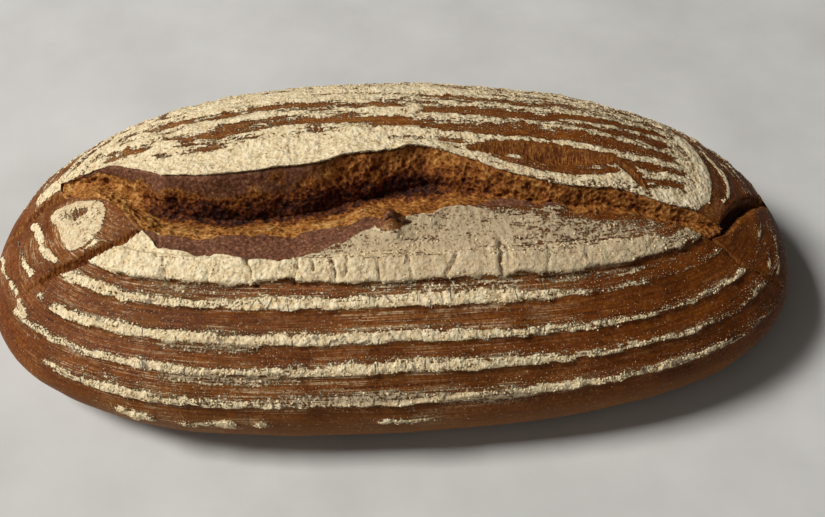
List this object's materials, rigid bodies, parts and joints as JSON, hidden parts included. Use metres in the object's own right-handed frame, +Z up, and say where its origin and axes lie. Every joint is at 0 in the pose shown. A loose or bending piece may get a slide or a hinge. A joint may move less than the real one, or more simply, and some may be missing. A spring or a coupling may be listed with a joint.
{
  "type": "sourdough loaf",
  "caption": "Long oval sourdough loaf with raised floured basket rings, a deep torn split along its back with a raised ear, side cuts and a flat base.",
  "frame": {"origin": "centre of the loaf's outline, on the surface it stands on", "axes": "+X along the loaf to its right end, +Y to its back, +Z up"},
  "size_m": [0.301, 0.1544, 0.0725],
  "materials": {
    "baked_crust": null
  },
  "bodies": {
    "root": {"loaf": "baked_crust"}
  },
  "joints": []
}
